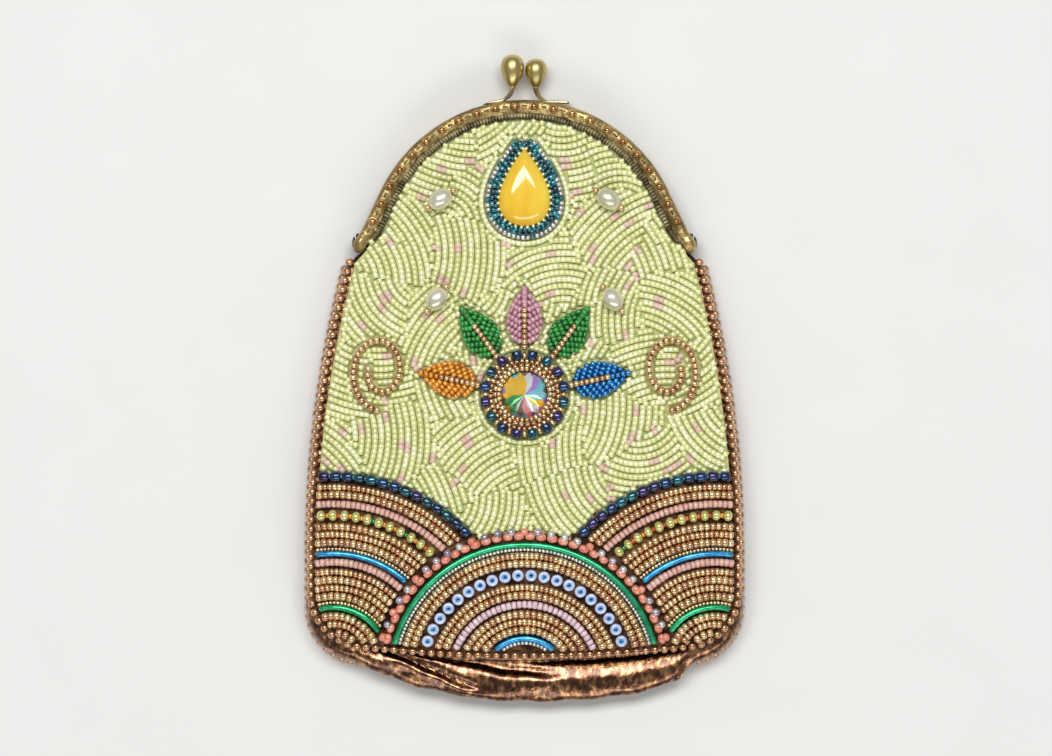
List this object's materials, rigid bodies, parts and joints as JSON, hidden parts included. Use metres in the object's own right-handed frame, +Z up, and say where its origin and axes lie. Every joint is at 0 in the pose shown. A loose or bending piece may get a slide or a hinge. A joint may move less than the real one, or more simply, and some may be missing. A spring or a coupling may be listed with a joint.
{
  "type": "beaded coin purse",
  "caption": "Flat coin purse with an arched kiss-lock brass frame that hinges open, a bead-embroidered front, leather back and gusset, and bead-edged seams.",
  "frame": {"origin": "on the table under the middle of the back panel, where the purse lies on its back", "axes": "+Z up, out of the beaded front; +Y towards the clasp; +X to the right as the front is seen"},
  "size_m": [0.111, 0.1625, 0.0171],
  "materials": {
    "antique_brass": "aged, rubbed bright on the high places",
    "polished_brass": "polished, slightly aged",
    "copper_leather": "metallic copper foil, crinkled",
    "lime_beads": "silver-lined seed beads",
    "bronze_beads": "metallic bronze seed beads",
    "crystal": "faceted, iridescent coating",
    "yellow_glass": "polished cat's-eye glass",
    "teal_beads": "metallic teal seed beads",
    "iris_beads": "metallic blue iris beads",
    "pearl": "freshwater pearl lustre",
    "green_beads": "glossy",
    "blue_beads": "glossy",
    "pink_beads": "opaque, glossy",
    "orange_beads": "silver-lined",
    "coral_beads": "glossy",
    "periwinkle_beads": "glossy rings",
    "lilac_beads": "opaque, glossy"
  },
  "bodies": {
    "rear_half": {"rear_frame": "antique_brass", "hinge_rivet_right": "antique_brass", "hinge_rivet_left": "antique_brass", "rear_clasp_stem": "polished_brass", "rear_clasp_ball": "polished_brass", "front_panel": "copper_leather", "back_panel": "copper_leather", "gusset": "copper_leather", "front_edging": "bronze_beads", "rear_edging": "bronze_beads", "front_fold": "lime_beads", "panel_ground": "lime_beads", "left_fan_iris": "iris_beads", "left_fan_bronze": "bronze_beads", "left_fan_pink": "pink_beads", "left_fan_lime": "lime_beads", "left_fan_bronze_middle": "bronze_beads", "left_fan_blue": "blue_beads", "left_fan_pink_inner": "pink_beads", "left_fan_bronze_inner": "bronze_beads", "left_fan_green": "green_beads", "right_fan_iris": "iris_beads", "right_fan_bronze": "bronze_beads", "right_fan_pink": "pink_beads", "right_fan_lime": "lime_beads", "right_fan_bronze_middle": "bronze_beads", "right_fan_blue": "blue_beads", "right_fan_pink_inner": "pink_beads", "right_fan_bronze_inner": "bronze_beads", "right_fan_green": "green_beads", "middle_fan_coral": "coral_beads", "middle_fan_green": "green_beads", "middle_fan_bronze": "bronze_beads", "middle_fan_sky": "periwinkle_beads", "middle_fan_bronze_middle": "bronze_beads", "middle_fan_lilac": "lilac_beads", "middle_fan_bronze_inner": "bronze_beads", "middle_fan_blue": "blue_beads", "crystal": "crystal", "crystal_bezel": "bronze_beads", "crystal_iris_ring": "iris_beads", "petal_green_left": "green_beads", "petal_green_right": "green_beads", "petal_orange": "orange_beads", "petal_blue": "blue_beads", "petal_pink": "pink_beads", "pearl_left": "pearl", "pearl_right": "pearl", "scroll_left": "bronze_beads", "scroll_right": "bronze_beads"},
    "front_half": {"front_frame": "antique_brass", "front_clasp_stem": "polished_brass", "front_clasp_ball": "polished_brass", "front_flap": "copper_leather", "flap_ground": "lime_beads", "cabochon": "yellow_glass", "cabochon_bezel": "teal_beads", "pearl_flap_left": "pearl", "pearl_flap_right": "pearl"}
  },
  "joints": [
    {"name": "frame_hinge", "type": "hinge", "parent": "rear_half", "child": "front_half", "pos_m": [0, 0.03421, 0.00495], "axis": [1, 0, 0], "range_deg": [0, 70], "deforming": ["front_fold"]}
  ]
}
